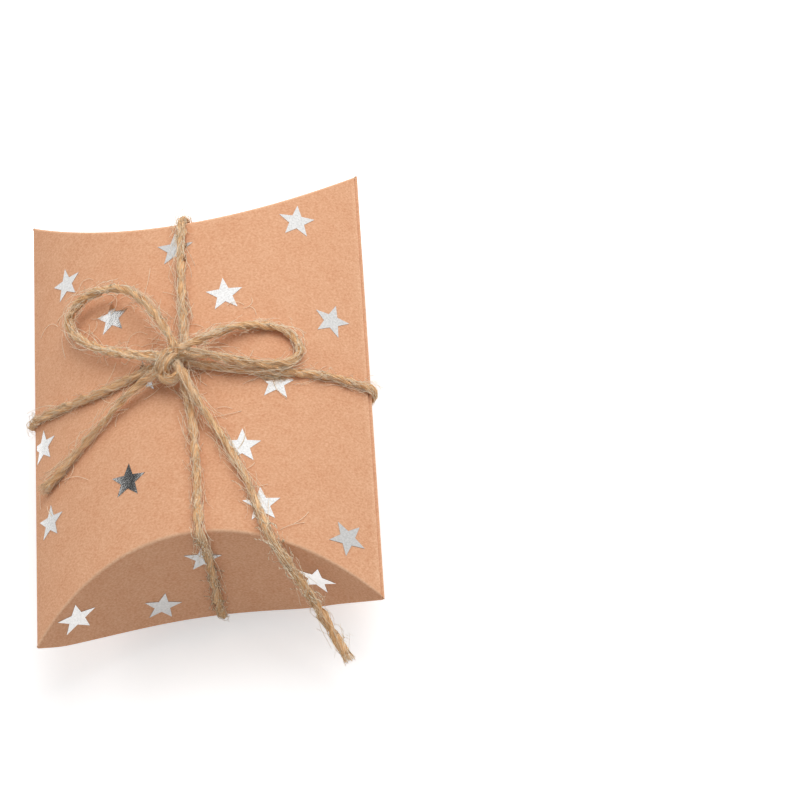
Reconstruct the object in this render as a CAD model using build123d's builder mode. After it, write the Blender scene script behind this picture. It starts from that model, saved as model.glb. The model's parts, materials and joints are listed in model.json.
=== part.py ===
from build123d import *
import os
from math import atan, cos, degrees, pi, radians, sin, sqrt, tan

# Kraft-card pillow box for a small gift, closed and tied both ways with jute twine.
# Millimetres. X runs across the box, Y along it (the front end is at -Y) and Z up.
# The origin is under the middle of the box, on the surface that the twine rests on.

os.makedirs("parts", exist_ok=True)

# Box: the two bowed panels meet at the side folds, and both ends are drawn in along a curve
box_width = 65.0
box_length = 90.0
panel_bulge = 12.5
crease_inset = 12.5
card = 0.45

# End flaps: the outer one hangs from the top panel and leans out at its foot,
# the inner one stands on the bottom panel behind it
flap_lean = 12.5
flap_tip_cut = 0.8
inner_flap_drop = 3.4
inner_flap_edge_radius = 39.4
thumb_notch_radius = 8.0
thumb_notch_depth = 5.5

# Glued side seam along +X
tab_width = 11.0
tab_fold_length = 83.0
tab_edge_length = 66.0
seam_setback = 0.7
glue_film = 0.06
glue_margin = 1.0

# Clearances
fold_gap = 0.15
flap_clearance = 0.3
seam_gap = 0.1
film_gap = 0.05
lay_gap = 0.1

# Foil stars
foil = 0.06
star_radius = 3.6
star_waist_radius = 1.5
star_tips = 5

# Twine, drawn with flat sides, and its knot
twine_diameter = 2.0
twine_sides = 6
cross_skew = -2.5
cross_offset = 0.3
crossing_bend_radius = 40.0
strand_end_gap = 0.2
strand_tuck = 1.6
front_knot_x = 0.2
front_crease_x = 1.9
front_foot_x = -0.3
rear_knot_x = -0.2
rear_crease_x = 0.7
rear_foot_x = 0.3
knot_x = -1.7
knot_y = 1.8
knot_radius = 4.0
knot_sides = 12
knot_height = 4.2
knot_slope = 1.5
knot_wrap_radius = 3.3

# Star places on each panel: across, along, turn of the first tip
TOP_STARS = [
    (-24, 27, 95), (-14, 15.5, 90), (-1, 27, 88), (21.5, 32, 85), (8, 16, 94),
    (26.5, 11, 73), (-30, -5, 89), (-11.5, -19.5, 86), (-28.5, -21.5, 87), (-8, 1, 90),
    (16.5, -3, 85), (10, -16, 87), (13, -28, 93), (27, -34, 118),
]
BOTTOM_STARS = [
    (-23, -30, 92), (-25, -9, 84), (-22, 13, 97), (-26, 33, 88), (-9, 24, 90),
    (-11, -20, 80), (8, 30, 95), (10, -8, 86), (9, -30, 91), (22, 20, 78),
    (25, -1, 93), (24, -25, 88), (-9, 4, 100),
]
# Star places on each outer flap: across, height over the middle plane, turn of the first tip
FRONT_STARS = [(-24.5, 0.8, 78), (-10, -5.5, 67), (0.5, 5, 80), (20, -0.5, 74)]
REAR_STARS = [(-19, 1, 96), (-3, -4.5, 85), (9.5, 4.5, 73), (24, 0.5, 88)]

# Free twine, as points across, along, and height of the twine's middle over the top panel
LEFT_LOOP = [
    (-1.8, 5.0, 4.0), (-3.4, 9.8, 4.5), (-5.6, 13.7, 4.5), (-8.6, 17.2, 4.3), (-12.5, 19.5, 3.9),
    (-17.0, 20.2, 3.4), (-20.6, 19.7, 2.9), (-22.9, 17.6, 2.4), (-22.4, 14.6, 2.2),
    (-19.6, 11.4, 2.2), (-15.5, 7.9, 2.3), (-10.2, 5.0, 2.9), (-4.9, 3.0, 3.5),
]
RIGHT_LOOP = [
    (0.9, 4.4, 4.2), (4.6, 4.9, 4.2), (9.8, 6.8, 3.7), (13.8, 7.6, 3.1), (17.6, 7.3, 2.6),
    (20.4, 5.7, 2.4), (21.6, 3.0, 2.8), (20.7, 0.2, 3.5), (18.0, -1.4, 4.0), (13.6, -1.3, 4.0),
    (9.4, 0.0, 3.9), (5.0, 1.4, 3.7), (1.6, 1.8, 3.4),
]
LEFT_TAIL = [
    (-4.8, -0.9, 3.1), (-7.6, -1.5, 2.8), (-11.4, -3.3, 1.8), (-16.2, -6.7, 1.3),
    (-21.6, -10.5, 1.35), (-26.2, -13.4, 1.4), (-28.9, -14.5, 1.5),
]
RIGHT_TAIL = [
    (0.5, -0.8, 3.5), (1.6, -4.6, 3.5), (3.4, -8.2, 2.6), (5.8, -12.4, 1.6),
    (8.4, -17.7, 1.2), (10.7, -23.1, 1.2), (12.4, -28.5, 1.2), (13.2, -31.4, 1.25),
]
# The right tail's end reaches past the front crease: across, along, height over the middle plane
RIGHT_TAIL_END = [
    (13.25, -31.6, 12.0), (14.2, -34.7, 11.8), (15.5, -37.0, 9.6), (16.7, -38.9, 6.8),
    (18.8, -42.3, 2.2), (20.5, -45.6, -1.3), (22.1, -48.9, -3.6), (23.7, -52.3, -5.0),
]

# Sizes that follow from those
half_width = box_width / 2
half_length = box_length / 2
twine_radius = twine_diameter / 2
twine_offset = twine_radius + lay_gap
lean_rise = tan(radians(flap_lean))
lean_sin = sin(radians(flap_lean))
lean_cos = cos(radians(flap_lean))
panel_radius = (half_width**2 + panel_bulge**2) / (2 * panel_bulge)
panel_drop = panel_radius - panel_bulge
crossing_depth = panel_bulge + twine_offset + twine_diameter + lay_gap
middle_z = crossing_depth + twine_radius

# The middle of each crease, and of the outer flap's foot
crease_y = half_length - crease_inset
foot_y = crease_y + lean_rise * 2 * panel_bulge

# Plan circle whose arc draws in the bottom panel's ends
crease_radius = (half_width**2 + crease_inset**2) / (2 * crease_inset)
crease_axis_y = -crease_y - crease_radius

# Circle of the leaning outer flap, in the plane square to its lean
wall_end = lean_cos * half_length
wall_inset = lean_cos * crease_inset - lean_sin * panel_bulge
wall_radius = (half_width**2 + wall_inset**2) / (2 * wall_inset)
wall_axis = wall_end - wall_inset + wall_radius
wall_reach = 2 * panel_bulge

seam_x = half_width - seam_setback
tab_radius = panel_radius - card - glue_film - 2 * film_gap
star_points = [
    (
        (star_radius if tip % 2 == 0 else star_waist_radius) * cos(pi * tip / star_tips),
        (star_radius if tip % 2 == 0 else star_waist_radius) * sin(pi * tip / star_tips),
    )
    for tip in range(2 * star_tips)
]


def panel_height(x):
    """Height of the top panel's face over the middle plane."""
    return sqrt(panel_radius**2 - x**2) - panel_drop


def save(piece, name):
    """Label a piece and write it."""
    piece.part.label = name
    export_step(piece.part, f"parts/{name}.step")


def bowed_band(side, outer, inner):
    """Band between two circles about a panel's axis; side is 1 for the top panel, -1 for the bottom."""
    with Locations((0, middle_z - side * panel_drop)):
        Circle(outer)
        Circle(inner, mode=Mode.SUBTRACT)


def keep_half(side, x_from, x_to):
    """Keep a profile between two widths, on one side of the middle plane."""
    with Locations(((x_from + x_to) / 2, middle_z + side * panel_bulge)):
        Rectangle(x_to - x_from, 2 * panel_bulge, mode=Mode.INTERSECT)


def wall_plane(end):
    """Plane square to an outer flap's lean, its y pointing out of that end; end is -1 at the front."""
    return Plane((0, 0, middle_z), x_dir=(-end, 0, 0), z_dir=(0, end * lean_sin, -lean_cos))


def cut_by_flap(gap):
    """Cut both ends back to the outer flaps' inner faces."""
    for end in (1, -1):
        with BuildSketch(wall_plane(end)) as disc:
            with Locations((0, wall_axis)):
                Circle(wall_radius + card + gap)
        extrude(disc.sketch, amount=wall_reach, both=True, mode=Mode.SUBTRACT)


def lens_outline(radius):
    """Outline that both panels share, seen from an end."""
    with Locations((0, middle_z - panel_drop)):
        Circle(radius)
    with Locations((0, middle_z + panel_drop)):
        Circle(radius, mode=Mode.INTERSECT)


def leaning_band(outer, inner, half_span):
    """Band along the leaning front wall, as high as the box and more."""
    with BuildSketch(wall_plane(-1)) as band:
        with Locations((0, wall_axis)):
            Circle(outer)
            Circle(inner, mode=Mode.SUBTRACT)
        with Locations((0, wall_end - wall_inset / 2)):
            Rectangle(2 * half_span, 2 * wall_inset, mode=Mode.INTERSECT)
    extrude(band.sketch, amount=wall_reach, both=True)


def star_outlines(spots, lift):
    """Star outlines at their places; lift moves them up the sketch."""
    for across, up, turn in spots:
        with Locations(Location((across, up + lift, 0), (0, 0, turn))):
            Polygon(*star_points, align=None)


def flap_star_outlines(spots):
    """Star outlines on a flap, kept below its crease."""
    star_outlines(spots, middle_z)
    with Locations((0, middle_z - panel_drop)):
        Circle(panel_radius - fold_gap, mode=Mode.INTERSECT)


# Top panel, bowed up, with its cut edge set back from the seam's fold
with BuildPart() as top_panel:
    with BuildSketch(Plane.XZ):
        bowed_band(1, panel_radius, panel_radius - card)
        keep_half(1, -half_width, seam_x)
    extrude(amount=half_length, both=True)
    cut_by_flap(fold_gap)
save(top_panel, "top_panel")

# Bottom panel, bowed down and drawn in along its own creases, with the seam's fold along its +X edge
with BuildPart() as bottom_panel:
    with BuildSketch(Plane.XZ):
        bowed_band(-1, panel_radius, panel_radius - card)
        keep_half(-1, -half_width, half_width)
    with BuildSketch(Plane.XZ):
        with Locations((0, middle_z - panel_drop)):
            Circle(panel_radius)
        keep_half(1, seam_x + seam_gap, half_width)
    extrude(amount=half_length, both=True)
    for end in (1, -1):
        with BuildSketch(Plane.XY):
            with Locations((0, end * crease_axis_y)):
                Circle(crease_radius)
        extrude(amount=middle_z + panel_bulge, mode=Mode.SUBTRACT)
    cut_by_flap(flap_clearance)
save(bottom_panel, "bottom_panel")

# Glue tab: folded up from the bottom panel, under the top panel's edge, with slanting ends
with BuildPart() as glue_tab:
    with BuildSketch(Plane.XZ):
        bowed_band(1, tab_radius, tab_radius - card)
        keep_half(1, half_width - tab_width, half_width)
    extrude(amount=half_length, both=True)
    with BuildSketch(Plane.XY.offset(middle_z)):
        with BuildLine():
            Polyline(
                (half_width, -tab_fold_length / 2),
                (half_width, tab_fold_length / 2),
                (half_width - tab_width, tab_edge_length / 2),
                (half_width - tab_width, -tab_edge_length / 2),
                close=True,
            )
        make_face()
    extrude(amount=panel_bulge, mode=Mode.INTERSECT)
save(glue_tab, "glue_tab")

# Glue between the tab and the top panel
with BuildPart() as glue_line:
    with BuildSketch(Plane.XZ):
        bowed_band(1, panel_radius - card - film_gap, panel_radius - card - film_gap - glue_film)
        keep_half(1, half_width - tab_width + glue_margin, seam_x - glue_margin)
    extrude(amount=tab_edge_length / 2 - glue_margin, both=True)
save(glue_line, "glue_line")

# Outer end flaps: one lens of card each, hung from the top panel's crease
with BuildPart() as front_outer_flap:
    leaning_band(wall_radius + card, wall_radius, half_width - flap_tip_cut)
    with BuildSketch(Plane.XZ):
        lens_outline(panel_radius)
    extrude(amount=box_length, both=True, mode=Mode.INTERSECT)
save(front_outer_flap, "front_outer_flap")

with BuildPart() as rear_outer_flap:
    mirror(front_outer_flap.part, about=Plane.XZ)
save(rear_outer_flap, "rear_outer_flap")

# Inner end flaps: upright on the bottom panel's crease, with a thumb notch in the free edge
inner_edge_z = middle_z + panel_bulge - inner_flap_drop
with BuildPart() as front_inner_flap:
    with BuildSketch(Plane.XY):
        with Locations((0, crease_axis_y)):
            Circle(crease_radius + card)
            Circle(crease_radius, mode=Mode.SUBTRACT)
        with Locations((0, -half_length + crease_inset / 2)):
            Rectangle(box_width, 2 * crease_inset, mode=Mode.INTERSECT)
    extrude(amount=middle_z + panel_bulge)
    with BuildSketch(Plane.XZ):
        with Locations((0, middle_z + panel_drop)):
            Circle(panel_radius - card - fold_gap)
        with Locations((0, inner_edge_z - inner_flap_edge_radius)):
            Circle(inner_flap_edge_radius, mode=Mode.INTERSECT)
        with Locations((0, inner_edge_z - thumb_notch_depth + thumb_notch_radius)):
            Circle(thumb_notch_radius, mode=Mode.SUBTRACT)
    extrude(amount=box_length, both=True, mode=Mode.INTERSECT)
save(front_inner_flap, "front_inner_flap")

with BuildPart() as rear_inner_flap:
    mirror(front_inner_flap.part, about=Plane.XZ)
save(rear_inner_flap, "rear_inner_flap")

# Foil stars: thin skins on the faces that they are pressed on
with BuildPart() as top_panel_stars:
    with BuildSketch(Plane.XZ):
        bowed_band(1, panel_radius + foil, panel_radius)
        keep_half(1, -half_width, half_width)
    extrude(amount=half_length, both=True)
    with BuildSketch(Plane.XY.offset(middle_z)):
        star_outlines(TOP_STARS, 0)
    extrude(amount=2 * panel_bulge, mode=Mode.INTERSECT)
save(top_panel_stars, "top_panel_stars")

with BuildPart() as bottom_panel_stars:
    with BuildSketch(Plane.XZ):
        bowed_band(-1, panel_radius + foil, panel_radius)
        keep_half(-1, -half_width, half_width)
    extrude(amount=half_length, both=True)
    with BuildSketch(Plane.XY):
        star_outlines(BOTTOM_STARS, 0)
    extrude(amount=middle_z, mode=Mode.INTERSECT)
save(bottom_panel_stars, "bottom_panel_stars")

with BuildPart() as front_flap_stars:
    leaning_band(wall_radius, wall_radius - foil, half_width - flap_tip_cut)
    with BuildSketch(Plane.XZ):
        flap_star_outlines(FRONT_STARS)
    extrude(amount=box_length, both=True, mode=Mode.INTERSECT)
save(front_flap_stars, "front_flap_stars")

with BuildPart() as rear_flap_stars_turned:
    leaning_band(wall_radius, wall_radius - foil, half_width - flap_tip_cut)
    with BuildSketch(Plane.XZ):
        flap_star_outlines(REAR_STARS)
    extrude(amount=box_length, both=True, mode=Mode.INTERSECT)

with BuildPart() as rear_flap_stars:
    mirror(rear_flap_stars_turned.part, about=Plane.XZ)
save(rear_flap_stars, "rear_flap_stars")


def bend_radii(route):
    """Bend radius at each inner point of a route: as large as its two runs leave room for."""
    radii = []
    for before, point, after in zip(route, route[1:], route[2:]):
        run_in = Vector(*point) - Vector(*before)
        run_out = Vector(*after) - Vector(*point)
        shorter = min(run_in.length, run_out.length)
        half_turn = radians(run_in.get_angle(run_out) / 2)
        radii.append(0.45 * shorter / tan(half_turn))
    return radii


def twine_section(path):
    """Section of the twine at the start of a path."""
    with BuildSketch(Plane(origin=path.line @ 0, z_dir=path.line % 0)) as section:
        RegularPolygon(twine_radius, twine_sides)
    return section.sketch


def lay_twine(name, route, radii):
    """Twine along straight runs joined by arcs."""
    with BuildPart() as strand:
        with BuildLine() as path:
            FilletPolyline(*route, radius=radii)
        section = twine_section(path)
        sweep(section, path=path.line)
    length = sum(edge.length for edge in path.edges())
    share = strand.part.volume / (section.area * length)
    print(f"{name}: length {length:.1f}, least radius {min(radii):.2f}, volume ratio {share:.4f}")
    save(strand, name)


def over_panel(route):
    """Route points over the top panel, in the part's frame."""
    return [(x, y, middle_z + panel_height(x) + rise) for x, y, rise in route]


# Free twine: the bow's two loops and its two tails
for cord_name, cord_route in (
    ("left_bow_loop", over_panel(LEFT_LOOP)),
    ("right_bow_loop", over_panel(RIGHT_LOOP)),
    ("left_tail", over_panel(LEFT_TAIL)),
    ("right_tail", over_panel(RIGHT_TAIL)),
    ("right_tail_end", [(x, y, middle_z + z) for x, y, z in RIGHT_TAIL_END]),
):
    lay_twine(cord_name, cord_route, bend_radii(cord_route))

# Lengthwise twine: over the top panel, down each end over its outer flap, and under the box
top_z = middle_z + panel_bulge + twine_offset
under_z = middle_z - panel_bulge - twine_offset
crease_turn = radians(90 - flap_lean)
foot_turn = radians(90 + flap_lean)
crease_corner_y = crease_y + twine_offset * tan(crease_turn / 2)
foot_corner_y = foot_y + twine_offset * tan(foot_turn / 2)
bend_start_y = crease_y - strand_end_gap
foot_end_y = foot_y - strand_tuck


def straight_strand(name, start, end):
    """Straight twine between two points."""
    with BuildPart() as strand:
        with BuildLine() as path:
            Line(start, end)
        sweep(twine_section(path), path=path.line)
    save(strand, name)


straight_strand(
    "front_top_strand",
    (front_knot_x, knot_y - knot_radius + twine_radius, top_z),
    (front_crease_x, -bend_start_y + strand_end_gap, top_z),
)
straight_strand(
    "rear_top_strand",
    (rear_knot_x, knot_y + knot_radius - twine_radius, top_z),
    (rear_crease_x, bend_start_y - strand_end_gap, top_z),
)
for end, name, crease_x, foot_x in (
    (-1, "front_end_strand", front_crease_x, front_foot_x),
    (1, "rear_end_strand", rear_crease_x, rear_foot_x),
):
    end_route = [
        (crease_x, end * bend_start_y, top_z),
        (crease_x, end * crease_corner_y, top_z),
        (foot_x, end * foot_corner_y, under_z),
        (foot_x, end * foot_end_y, under_z),
    ]
    lay_twine(name, end_route, [twine_offset, twine_offset])

under_reach = foot_end_y - strand_end_gap
under_slope = atan((crossing_depth - panel_bulge - twine_offset) / under_reach)
bend_inset = crossing_bend_radius * (1 / cos(under_slope) - 1)
under_route = [
    (front_foot_x, -under_reach, under_z),
    (0, 0, middle_z - crossing_depth - bend_inset),
    (rear_foot_x, under_reach, under_z),
]
lay_twine("bottom_strand", under_route, [crossing_bend_radius])

# Crosswise twine: one strand from the knot round both side folds and under the box
fold_angle = degrees(atan(panel_drop / half_width))
ring_radius = panel_radius + twine_offset
left_start = degrees(atan((knot_radius - twine_radius - knot_x) / ring_radius))
right_start = degrees(atan((knot_radius - twine_radius + knot_x) / ring_radius))
cross_plane = Plane(
    origin=(0, cross_offset, middle_z),
    x_dir=(cos(radians(cross_skew)), sin(radians(cross_skew)), 0),
    z_dir=(sin(radians(cross_skew)), -cos(radians(cross_skew)), 0),
)
with BuildPart() as crosswise_strand:
    with BuildLine(cross_plane) as ring:
        CenterArc((0, -panel_drop), ring_radius, 90 + left_start, 90 - fold_angle - left_start)
        CenterArc((-half_width, 0), twine_offset, 180 - fold_angle, 2 * fold_angle)
        CenterArc((0, panel_drop), ring_radius, 180 + fold_angle, 180 - 2 * fold_angle)
        CenterArc((half_width, 0), twine_offset, -fold_angle, 2 * fold_angle)
        CenterArc((0, -panel_drop), ring_radius, fold_angle, 90 - right_start - fold_angle)
    sweep(twine_section(ring), path=ring.line)
save(crosswise_strand, "crosswise_strand")

# Knot: a tight core with one turn of twine over it
knot_base_z = middle_z + panel_bulge + lay_gap
with BuildPart() as bow_knot:
    with BuildSketch(Plane.XY.offset(knot_base_z)):
        with Locations((knot_x, knot_y)):
            RegularPolygon(knot_radius, knot_sides)
    extrude(amount=knot_height)
    chamfer(bow_knot.edges().group_by(Axis.Z)[-1], knot_slope)
    with BuildLine(Plane.YZ.offset(knot_x)) as wrap:
        CenterArc((knot_y, top_z), knot_wrap_radius, 0, 180)
    sweep(twine_section(wrap), path=wrap.line)
save(bow_knot, "bow_knot")
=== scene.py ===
"""Kraft pillow box with foil stars, tied both ways with jute twine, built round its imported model."""

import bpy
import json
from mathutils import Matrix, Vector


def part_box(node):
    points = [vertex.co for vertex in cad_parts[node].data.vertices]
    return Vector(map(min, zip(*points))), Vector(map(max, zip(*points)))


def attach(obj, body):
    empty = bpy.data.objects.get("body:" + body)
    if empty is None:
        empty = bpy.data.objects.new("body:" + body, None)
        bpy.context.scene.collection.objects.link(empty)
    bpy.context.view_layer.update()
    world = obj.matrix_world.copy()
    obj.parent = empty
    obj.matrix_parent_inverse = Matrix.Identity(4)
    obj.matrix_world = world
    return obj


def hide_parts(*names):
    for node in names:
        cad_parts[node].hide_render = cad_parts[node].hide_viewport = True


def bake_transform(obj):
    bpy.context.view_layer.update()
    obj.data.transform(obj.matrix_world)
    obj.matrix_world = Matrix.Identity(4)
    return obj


bl_info = {
    "name": "Twine-Tied Favor Box",
    "version": (1, 0, 0),
    "blender": (4, 5, 0),
    "location": "View3D > Sidebar > Favor Box",
    "description": "Models a kraft pillow box with foil stars and a jute bow round its packed parts",
    "category": "Object",
}

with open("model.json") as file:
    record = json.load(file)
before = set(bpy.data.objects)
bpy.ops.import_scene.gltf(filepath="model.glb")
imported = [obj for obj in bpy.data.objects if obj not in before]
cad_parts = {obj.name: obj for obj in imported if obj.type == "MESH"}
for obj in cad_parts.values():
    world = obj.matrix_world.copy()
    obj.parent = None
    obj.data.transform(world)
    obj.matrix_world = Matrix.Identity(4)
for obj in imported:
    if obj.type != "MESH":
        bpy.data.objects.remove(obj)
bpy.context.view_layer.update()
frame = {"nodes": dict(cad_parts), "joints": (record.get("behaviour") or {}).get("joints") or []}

import json
import random
from math import atan2, cos, exp, pi, radians, sin, sqrt, tan

import bpy
from mathutils import Quaternion, Vector

MM = 0.001
JOINTS = {joint["name"]: joint for joint in frame["joints"]}
FLAP_HINGE = JOINTS["front_flap_hinge"]
DUST_HINGE = JOINTS["front_dust_flap_hinge"]

# Sizes of the card box that the frame gives
MIDDLE_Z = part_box("top_panel")[0].z
PANEL_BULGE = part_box("top_panel")[1].z - MIDDLE_Z
SEAM_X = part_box("top_panel")[1].x
HALF_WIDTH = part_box("bottom_panel")[1].x
TAB_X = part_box("glue_tab")[0].x
CREASE_Y = -FLAP_HINGE["pos_m"][1]
FLAP_SWING = radians(FLAP_HINGE["range_deg"][1])
DUST_SWING = radians(DUST_HINGE["range_deg"][1])
DUST_HALF_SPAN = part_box("front_inner_flap")[1].x
FLAP_LEAN = pi / 2 - FLAP_SWING
LEAN_TAN = tan(FLAP_LEAN)
LEAN_COS = cos(FLAP_LEAN)

# Sizes of the card box that the frame doesn't hold
HALF_LENGTH = 45 * MM
CARD = 0.45 * MM
CREASE_INSET = HALF_LENGTH - CREASE_Y
PANEL_RADIUS = (HALF_WIDTH**2 + PANEL_BULGE**2) / (2 * PANEL_BULGE)
PANEL_DROP = PANEL_RADIUS - PANEL_BULGE
CREASE_RADIUS = (HALF_WIDTH**2 + CREASE_INSET**2) / (2 * CREASE_INSET)
WALL_END = LEAN_COS * HALF_LENGTH
WALL_INSET = LEAN_COS * CREASE_INSET - sin(FLAP_LEAN) * PANEL_BULGE
WALL_RADIUS = (HALF_WIDTH**2 + WALL_INSET**2) / (2 * WALL_INSET)
WALL_AXIS = WALL_END - WALL_INSET + WALL_RADIUS
FOOT_Y = CREASE_Y + LEAN_TAN * 2 * PANEL_BULGE
DUST_EDGE_DROP = 3.4 * MM
DUST_EDGE_RADIUS = 39.4 * MM
NOTCH_RADIUS = 8 * MM
NOTCH_DEPTH = 5.5 * MM
FLAP_CLEARANCE = 0.3 * MM
STRIP = 1.3 * MM  # panel that goes with a flap, on the far side of its crease
TIP_HALF = 0.1 * MM  # half the height of an outer flap's rounded tip
EDGE_BEND = 0.9 * MM  # how far the outer flaps' free edge is bent in
EDGE_DENT = 0.7 * MM  # and dented by the twine
ENDS = ((-1, "front"), (1, "rear"))  # both ends of the box, by their direction along it
TAB_FOLD_HALF = 41.5 * MM
TAB_EDGE_HALF = 33 * MM
TAB_RADIUS = PANEL_RADIUS - CARD - 0.16 * MM

# Make-up of the twine, as shares of its diameter
SEAT = 0.42  # its middle over the card that it lies on
PLY_OUT = 0.16  # a ply's middle from the twine's own
CORE_RADIUS = 0.19
FIBRE_OUT = 0.225  # the fibres from their ply's middle
HAIR_OUT = 0.33  # where stray fibres leave the twine
HAIR_DEPTH = 0.36  # how far towards the card they may go
END_RADIUS = 0.46
# Shares of its width: lost where it is drawn tight, and gained at a frayed end
PULLED = 0.28
FLARED = 0.3
NOWHERE = (2, 2)  # a stretch past the twine's end
TWINE_STEP = 0.45 * MM
FLOOR_GAP = 0.1 * MM
CORE_SIDES = 8
FIBRE_SIDES = 3

# Stars: across, along, turn of the first tip in degrees, as in the imported part, and the foil's brightness,
# which is painted reflection: duller stars stand in for darker reflections in their foil
TOP_STARS = [
    (-24, 27, 95, 0.8), (-14, 15.5, 90, 0.95), (-1, 27, 88, 0.7), (21.5, 32, 85, 0.9), (8, 16, 94, 1),
    (26.5, 11, 73, 0.78), (-30, -5, 89, 0.78), (-11.5, -19.5, 86, 0.8), (-28.5, -21.5, 87, 0.7),
    (-8, 1, 90, 0.6), (16.5, -3, 85, 0.95), (10, -16, 87, 1), (13, -28, 93, 1), (27, -34, 118, 0.64),
]
BOTTOM_STARS = [
    (-23, -30, 92, 0.9), (-25, -9, 84, 0.7), (-22, 13, 97, 0.95), (-26, 33, 88, 0.8), (-9, 24, 90, 1),
    (-11, -20, 80, 0.75), (8, 30, 95, 0.65), (10, -8, 86, 0.95), (9, -30, 91, 1), (22, 20, 78, 0.8),
    (25, -1, 93, 0.9), (24, -25, 88, 0.7), (-9, 4, 100, 0.85),
]
# Stars on the outer flaps: across, height over the middle plane, turn, brightness as painted reflection
FRONT_STARS = [(-24.5, 0.8, 78, 0.73), (-10, -5.5, 67, 0.5), (0.5, 5, 80, 0.46), (20, -0.5, 74, 0.92)]
REAR_STARS = [(-19, 1, 96, 0.9), (-3, -4.5, 85, 0.6), (9.5, 4.5, 73, 0.8), (24, 0.5, 88, 0.7)]

# Free twine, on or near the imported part's routes: across, along, height of its middle over the top panel
LEFT_LOOP = [
    (-0.7, 2.2, 3.2), (-0.4, 3.8, 4.4), (-1.5, 6.2, 4.6), (-3.4, 9.8, 4.5), (-5.6, 13.7, 4.5),
    (-8.6, 17.2, 4.3), (-12.5, 19.5, 3.9), (-17.0, 20.2, 3.4), (-20.6, 19.7, 2.9), (-22.9, 17.6, 2.4),
    (-22.4, 14.6, 2.2), (-19.6, 11.4, 2.2), (-15.5, 7.9, 2.3), (-10.2, 5.0, 2.9), (-4.9, 3.0, 3.5),
    (-2.6, 2.2, 3.4),
]
RIGHT_LOOP = [
    (0.1, 3.1, 4.1), (1.8, 3.6, 4.2), (4.8, 5.3, 3.3), (9.4, 7.8, 2.0), (13.4, 8.6, 1.3), (17.3, 8.2, 1.0),
    (20.1, 6.5, 1.0), (21.4, 3.7, 1.5), (20.6, 0.8, 2.5), (18.0, -0.6, 2.7), (13.6, -0.5, 2.6),
    (9.4, 0.5, 3.0), (5.0, 1.8, 3.5), (1.6, 2.3, 3.7), (0.0, 2.6, 3.3),
]
LEFT_TAIL = [
    (-4.2, -0.2, 3.2), (-7.6, -1.5, 2.8), (-11.4, -3.3, 1.8), (-16.2, -6.7, 1.3),
    (-21.6, -10.5, 1.2), (-26.2, -13.4, 1.2), (-28.9, -14.5, 1.3),
]
RIGHT_TAIL = [
    (-0.7, 0.8, 3.5), (0.2, -0.9, 3.7), (1.0, -2.8, 3.6), (2.0, -5.2, 3.3), (3.4, -8.2, 2.5),
    (5.8, -12.4, 1.5), (8.4, -17.7, 1.1), (10.7, -23.1, 1.05), (12.4, -28.5, 1.05), (13.2, -31.4, 1.1),
]
# The right tail's end: across, along, height over the middle plane
RIGHT_TAIL_END = [
    (14.2, -34.7, 11.8), (15.5, -37.0, 9.6), (16.7, -38.9, 6.8),
    (18.8, -42.3, 2.2), (20.5, -45.6, -1.3), (22.1, -48.9, -3.6), (23.7, -52.3, -5.0),
]
# The knot's turns: across, along, height over the top panel
KNOT_TURNS = [
    [(-0.5, 5.3, 1.8), (-1.0, 4.2, 3.7), (-2.2, 2.3, 4.8), (-3.4, 0.7, 4.7), (-3.9, -0.4, 3.2),
     (-3.8, -0.9, 1.8)],
    [(-0.3, 3.7, 2.2), (-0.9, 2.4, 3.9), (-1.7, 1.2, 4.6), (-2.5, 0.2, 4.1), (-2.9, -0.5, 3.0),
     (-2.9, -0.9, 1.8)],
    [(-4.2, 0.6, 2.6), (-3.9, -0.9, 2.8), (-2.8, -2.1, 3.0), (-1.4, -2.5, 3.2), (-0.2, -1.6, 3.4),
     (-0.3, -0.2, 3.5), (-1.0, 0.8, 3.0)],
    [(-5.2, 2.9, 2.8), (-3.6, 2.5, 2.9), (-1.8, 2.3, 3.0), (0.2, 2.5, 3.0)],
]
# Lengthwise twine: along and across on the top panel, then height over the middle plane and across on a flap
FRONT_LINE = [(2, -0.2), (5, 0.5), (7, 1.1), (14.8, 1.7), (22.6, 1.9), (30, 1.8)]
FRONT_DROP = [(11.6, 1.9), (3.4, 1.4), (-3.3, 0.6), (-9.5, -0.3)]
REAR_LINE = [(2, 0.6), (9.6, 0.4), (20.6, 0.2), (27, 0.3), (30.5, 0.6)]
REAR_DROP = [(11.6, 0.7), (3.4, 0.6), (-3.3, 0.5), (-9.5, 0.3)]
# Crosswise twine, across and along: on the top panel to the left, under the box, and back to the knot
LEFT_LINE = [(-6.8, 2.0), (-12, 0.6), (-16.7, 0.0), (-22, 0.0), (-27.6, 0.6), (-30.6, 0.9)]
UNDER_LINE = [(-27, 1.1), (-19, 0.9), (-10, 0.5), (0, 0), (10, -0.9), (19, -2.0), (27, -2.9)]
RIGHT_LINE = [(30.6, -2.1), (28.5, -1.8), (25.8, -1.3), (21.2, -1.2), (12.3, -0.9), (6.9, 0.2), (3.1, 1.2)]


class BoxFinish(bpy.types.PropertyGroup):
    """Finish of the card and its stars."""

    fold_radius: bpy.props.FloatProperty(
        name="Crease rounding", description="Outer radius of the creases", default=0.75 * MM, unit="LENGTH"
    )
    edge_radius: bpy.props.FloatProperty(
        name="Side fold rounding", description="Outer radius of the side folds",
        default=0.5 * MM, unit="LENGTH",
    )
    star_radius: bpy.props.FloatProperty(
        name="Star radius", description="Middle to tip of a star", default=3.6 * MM, unit="LENGTH"
    )
    star_waist: bpy.props.FloatProperty(
        name="Star waist", description="Middle to the inner corners of a star",
        default=1.5 * MM, unit="LENGTH",
    )
    foil: bpy.props.FloatProperty(
        name="Foil", description="Height of the foil over the card", default=0.05 * MM, unit="LENGTH"
    )
    card_colour: bpy.props.StringProperty(name="Card", description="Card colour, sRGB hex", default="E0A984")
    foil_colour: bpy.props.StringProperty(name="Foil", description="Foil colour, sRGB hex", default="FDFCFA")


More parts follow.
